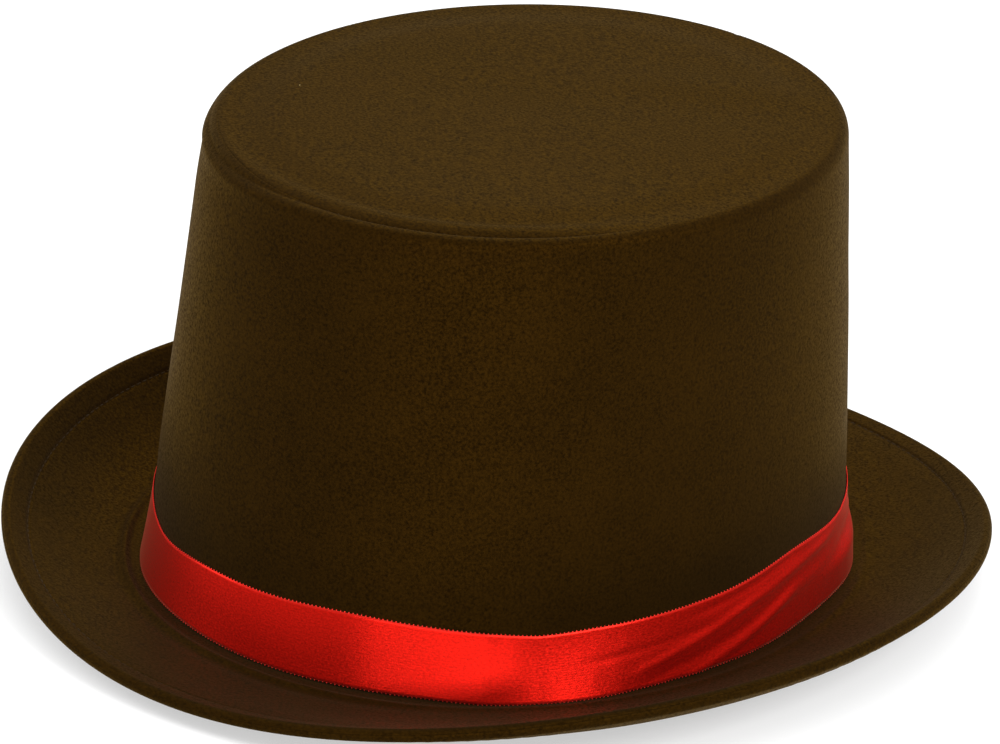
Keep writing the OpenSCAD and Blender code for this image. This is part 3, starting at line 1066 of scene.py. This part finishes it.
class TOPHAT_OT_ribbon(HatOperator, bpy.types.Operator):
    """Makes the satin ribbon with its folds, woven picot edges, lapped end and tacking stitches"""

    bl_idname = "top_hat.ribbon"
    bl_label = "Ribbon"

    rows = 26
    steps = 1100
    # The lapped end: half its length and its folded-under stretch as angles, and how far it and
    # its tacking stitches stand off the ribbon's own surface
    half_lap = math.radians(6.8)
    folded = math.radians(1.2)
    lap_lift = 0.36 * MM
    tack_lift = 0.66 * MM

    def make(self, context, shape):
        self.band(shape)
        self.picots(shape)
        self.lap(shape)

    def ribbon_point(self, shape, turn, share, more=0.0):
        z = ribbon_height(turn, share)
        return shape.on_oval(turn, shape.wall_half(z), z, ribbon_lift(shape, turn, share) + more)

    def band(self, shape):
        rows = self.rows
        profile = [(shape.base_half, RIBBON_WIDTH * i / rows) for i in range(rows + 1)]
        bm = turned(profile, self.steps)
        around = shape.round_length(shape.base_half)
        lay_cloth(bm, around)
        for vert in bm.verts:
            vert.co = self.ribbon_point(shape, turn_of(vert.co), vert.co.z / RIBBON_WIDTH)
        face_outwards(bm, lambda p: shape.outward(turn_of(p)))
        made = piece(
            "satin_ribbon", bm, "ribbon_satin",
            ("hat_ribbon",), shape.sizes.ribbon_thick,
        )

    def picots(self, shape):
        """Tiny woven loops along both edges"""
        loops = Stitches(sides=5)
        for share, way in ((0.0, -1), (1.0, 1)):
            def point_at(turn):
                return self.ribbon_point(shape, turn, share, -0.5 * shape.sizes.ribbon_thick)

            for turn in spaced(point_at, shape.sizes.picot_pitch):
                up = self.ribbon_point(shape, turn, 0.9) - self.ribbon_point(shape, turn, 0.1)
                place = point_at(turn) + up.normalized() * 0.10 * MM * way
                loops.add(place, up, shape.outward(turn), length=0.56 * MM, radius=0.19 * MM)
        loops.piece("ribbon_picots", finish="picot_thread", slot="ribbon")

    def lap(self, shape):
        """The ribbon's end over its start, folded under and tacked down at the back"""
        bm = bmesh.new()
        start, end = BACK - self.half_lap, BACK + self.half_lap
        verts = [
            bm.verts.new((math.cos(start), math.sin(start), RIBBON_WIDTH * i / self.rows))
            for i in range(self.rows + 1)
        ]
        edges = [bm.edges.new(pair) for pair in zip(verts, verts[1:])]
        bmesh.ops.spin(
            bm, geom=verts + edges, cent=(0, 0, 0), axis=(0, 0, 1),
            angle=end - start, steps=60, use_merge=False, use_duplicate=False,
        )
        lay_cloth(bm, shape.round_length(shape.base_half))
        fold = self.folded
        for vert in bm.verts:
            turn, share = turn_of(vert.co), vert.co.z / RIBBON_WIDTH
            doubled = 0.28 * MM * (1 - fade(turn, start + fold, start + 1.6 * fold))
            curled = 0.22 * MM * (1 - fade(turn, start, start + 0.3 * fold))
            vert.co = self.ribbon_point(shape, turn, share, self.lap_lift + doubled - curled)
        face_outwards(bm, lambda p: shape.outward(turn_of(p)))
        made = piece(
            "ribbon_lap", bm, "ribbon_satin",
            ("ribbon_lap_end",), shape.sizes.ribbon_thick,
        )
        long = shape.round_length(shape.base_half) * self.half_lap / math.pi
        tacks = Stitches(sides=8)
        turn = start + 1.1 * fold
        for share in middles(0, 1, 6):
            place = self.ribbon_point(shape, turn, share, self.tack_lift)
            above = self.ribbon_point(shape, turn, share + 0.05)
            up = above - self.ribbon_point(shape, turn, share - 0.05)
            tacks.add(place, up, shape.outward(turn), length=2.0 * MM, radius=0.16 * MM)
        tacks.piece("ribbon_tacks", ("ribbon_tack_stitches",), "red_sewing_thread", "red_thread")


class TOPHAT_OT_inside(HatOperator, bpy.types.Operator):
    """Makes the lining of the crown, the grosgrain sweatband and their stitching"""

    bl_idname = "top_hat.inside"
    bl_label = "Lining and Sweatband"

    def make(self, context, shape):
        self.side_lining(shape)
        self.tip_lining(shape)
        self.sweatband(shape)

    def side_lining(self, shape):
        """Hangs inside the wall in soft upright ripples"""
        inset = shape.base_half - LINING_HIGH.y
        foot, rim = LINING_LOW.z, shape.rim_z
        rows = 30
        profile = [(shape.wall_half(z, inset), z) for z in evenly(foot, rim, rows)]
        bm = turned(profile, 300)
        for vert in bm.verts:
            turn, half, z = place_round(vert.co)
            point = shape.on_oval(turn, half, z)
            free = fade(z, BAND_HIGH.z - 4 * MM, BAND_HIGH.z + 20 * MM)
            gathers = 0.22 * (1 + math.sin(46 * turn + 2 * ripple(point, 30 * MM, 1.0)))
            slack = 0.35 * (1 + ripple(point, 40 * MM, 14.0))
            vert.co = shape.on_oval(turn, half, z, -(gathers + slack) * free * MM)
        face_outwards(bm, lambda p: -shape.outward(turn_of(p)))
        made = piece(
            "side_lining", bm, "lining_cloth", ("crown_side_lining",), LINING_THICK
        )
        made.modifiers["thickness"].offset = 1
        around = shape.round_length(shape.base_half - inset)

    def tip_lining(self, shape):
        """A disc under the top, gathered where it is sewn to the side lining"""
        inset = 2.75 * MM
        rows = 24
        edge = shape.rim_half + 1.2 * MM
        profile = [
            (edge * (1 - i / rows), shape.tip_height(1 - i / rows, inset)) for i in range(rows + 1)
        ]
        bm = turned(profile, 300)
        for vert in bm.verts:
            turn, half, z = place_round(vert.co)
            point = shape.on_oval(turn, half, z)
            gather = fade(half, 0.72 * edge, 0.98 * edge)
            drop = 0.30 * (1 + math.sin(60 * turn)) * gather
            drop += 0.30 * (1 + ripple(point, 40 * MM, 21.0))
            vert.co = point - Vector((0, 0, drop * MM))
        face_outwards(bm, lambda p: Vector((0, 0, -1)))
        made = piece(
            "tip_lining", bm, "lining_cloth", ("crown_tip_lining",), LINING_THICK
        )

    def sweatband(self, shape):
        outer = shape.base_half - shape.hole_half + 0.1 * MM
        thick = 0.7 * MM
        low, high = BAND_LOW.z, BAND_HIGH.z
        rows = 22
        profile = [
            (shape.wall_half(z, outer + thick) - 0.1 * MM, z) for z in evenly(low, high, rows)
        ]
        bm = turned(profile, 420)
        around = shape.round_length(shape.hole_half)
        lay_cloth(bm, around)
        for vert in bm.verts:
            turn, half, z = place_round(vert.co)
            point = shape.on_oval(turn, half, z)
            lean_in = fade(z, low + 8 * MM, high) * 0.5 * (1 + ripple(point, 45 * MM, 17.0))
            join = 0.35 * bump(degrees_from(turn, 90), 0, 2.2)
            selvedge = 0.14 * (1 - fade(high - z, 0.6 * MM, 1.6 * MM))
            vert.co = shape.on_oval(turn, half, z, -(lean_in + join + selvedge) * MM)
        face_outwards(bm, lambda p: -shape.outward(turn_of(p)))
        made = piece(
            "grosgrain_sweatband", bm, "grosgrain", ("sweatband",), thick
        )
        z = low + 2.2 * MM
        inner = shape.wall_half(z, outer + thick) - 0.1 * MM

        def foot_at(turn):
            join = 0.35 * bump(degrees_from(turn, 90), 0, 2.2)
            return shape.on_oval(turn, inner, z, -(0.08 + join) * MM)

        foot = Stitches()
        foot.line(foot_at, lambda t: -shape.outward(t), pitch=3.4 * MM, radius=0.2 * MM)
        foot.piece("sweatband_foot_stitches", ("sweatband_thread",))
        zigzag = Stitches()
        for i, z in enumerate(middles(low, high, 16)):
            inner = shape.wall_half(z, outer + thick) - 0.1 * MM
            place = shape.on_oval(BACK, inner, z, -1.0 * MM - fade(z, low + 8 * MM, high) * 0.5 * MM)
            slant = Vector((1, 0, 0.6 if i % 2 else -0.6))
            zigzag.add(place, slant, Vector((0, -1, 0)), length=3.0 * MM, radius=0.18 * MM)
        zigzag.piece("sweatband_join_zigzag", ("sweatband_join_stitches",))


class TOPHAT_OT_stage(HatOperator, bpy.types.Operator):
    """Sets up the pale floor, the soft studio lights and the camera"""

    bl_idname = "top_hat.stage"
    bl_label = "Stage"

    # Camera: direction in degrees, distance and how far the aim lies off the middle of the crown
    azimuth, elevation, roll = 36.674, 23.019, 4.198
    distance = 1.899
    lens = 253.9
    aim_right, aim_up = -3.81 * MM, -10.90 * MM

    def make(self, context, shape):
        self.floor()
        self.lights(context)
        self.camera(context, shape)
        context.scene.view_settings.view_transform = "Standard"

    def floor(self):
        bm = bmesh.new()
        bmesh.ops.create_grid(bm, x_segments=1, y_segments=1, size=6.0)
        mesh = bpy.data.meshes.new("floor")
        bm.to_mesh(mesh)
        bm.free()
        mesh.materials.append(finish_of("pale_floor"))
        floor = bpy.data.objects.new("floor", mesh)
        bpy.context.scene.collection.objects.link(floor)

    def lights(self, context):
        world = bpy.data.worlds.new("studio")
        world.use_nodes = True
        world.node_tree.nodes["Background"].inputs["Color"].default_value = (1, 1, 1, 1)
        world.node_tree.nodes["Background"].inputs["Strength"].default_value = 0.68
        context.scene.world = world
        # Direction round the hat and above it in degrees, distance, width and height in metres,
        # power in watts
        lamps = (
            ("overhead", 90, 88, 2.2, 3.0, 3.0, 30),
            ("key_right", -5, 38, 1.6, 0.6, 0.6, 15),
            ("front_low", -52, 8, 1.7, 1.6, 0.3, 17),
            ("back_right", 118, 42, 1.8, 0.9, 0.6, 8),
            ("left_side", -157, 30, 1.8, 0.8, 0.8, 8),
        )
        for name, around, above, away, size, size_y, power in lamps:
            lamp = bpy.data.lights.new(name, "AREA")
            lamp.shape = "RECTANGLE"
            lamp.size = size
            lamp.size_y = size_y
            lamp.energy = power
            holder = bpy.data.objects.new(name, lamp)
            a, e = math.radians(around), math.radians(above)
            way = Vector((math.cos(a) * math.cos(e), math.sin(a) * math.cos(e), math.sin(e)))
            holder.location = way * away + Vector((0, 0, 0.06))
            holder.rotation_euler = way.to_track_quat("Z", "Y").to_euler()
            holder.visible_camera = False
            context.scene.collection.objects.link(holder)

    def camera(self, context, shape):
        a, e, r = (math.radians(v) for v in (self.azimuth, self.elevation, self.roll))
        back = Vector((math.sin(a) * math.cos(e), -math.cos(a) * math.cos(e), math.sin(e)))
        level = Vector((math.cos(a), math.sin(a), 0))
        over = back.cross(level)
        right = level * math.cos(r) + over * math.sin(r)
        up = over * math.cos(r) - level * math.sin(r)
        middle = Vector((0, 0, (BRIM_THICK + shape.top) / 2))
        place = middle + back * self.distance
        aim = middle + right * self.aim_right + up * self.aim_up
        z_axis = (place - aim).normalized()
        x_axis = (right - z_axis * right.dot(z_axis)).normalized()
        y_axis = z_axis.cross(x_axis)
        camera = bpy.data.cameras.new("view")
        camera.lens = self.lens
        camera.sensor_width = 36
        camera.clip_end = 50
        holder = bpy.data.objects.new("view", camera)
        holder.matrix_world = Matrix((
            (x_axis.x, y_axis.x, z_axis.x, place.x),
            (x_axis.y, y_axis.y, z_axis.y, place.y),
            (x_axis.z, y_axis.z, z_axis.z, place.z),
            (0, 0, 0, 1),
        ))
        context.scene.collection.objects.link(holder)
        context.scene.camera = holder


OPERATORS = (
    TOPHAT_OT_stage,
    TOPHAT_OT_hidden_frame,
    TOPHAT_OT_crown_covers,
    TOPHAT_OT_brim_covers,
    TOPHAT_OT_ribbon,
    TOPHAT_OT_inside,
)


class TOPHAT_PT_panel(bpy.types.Panel):
    """Lists the hat's sizes, colours and operators"""

    bl_idname = "TOPHAT_PT_panel"
    bl_label = "Top Hat"
    bl_space_type = "VIEW_3D"
    bl_region_type = "UI"
    bl_category = "Top Hat"

    def draw(self, context):
        column = self.layout.column()
        for group in (context.scene.top_hat_sizes, context.scene.top_hat_colours):
            for name in group.__annotations__:
                column.prop(group, name)
        for operator in OPERATORS:
            column.operator(operator.bl_idname)


CLASSES = (HatSizes, HatColours, *OPERATORS, TOPHAT_PT_panel)


def register():
    for cls in CLASSES:
        bpy.utils.register_class(cls)
    bpy.types.Scene.top_hat_sizes = PointerProperty(type=HatSizes)
    bpy.types.Scene.top_hat_colours = PointerProperty(type=HatColours)


def unregister():
    del bpy.types.Scene.top_hat_colours
    del bpy.types.Scene.top_hat_sizes
    for cls in reversed(CLASSES):
        bpy.utils.unregister_class(cls)


def main():
    register()
    bpy.ops.top_hat.stage()
    bpy.ops.top_hat.hidden_frame()
    bpy.ops.top_hat.crown_covers()
    bpy.ops.top_hat.brim_covers()
    bpy.ops.top_hat.ribbon()
    bpy.ops.top_hat.inside()


if __name__ == "__main__":
    main()
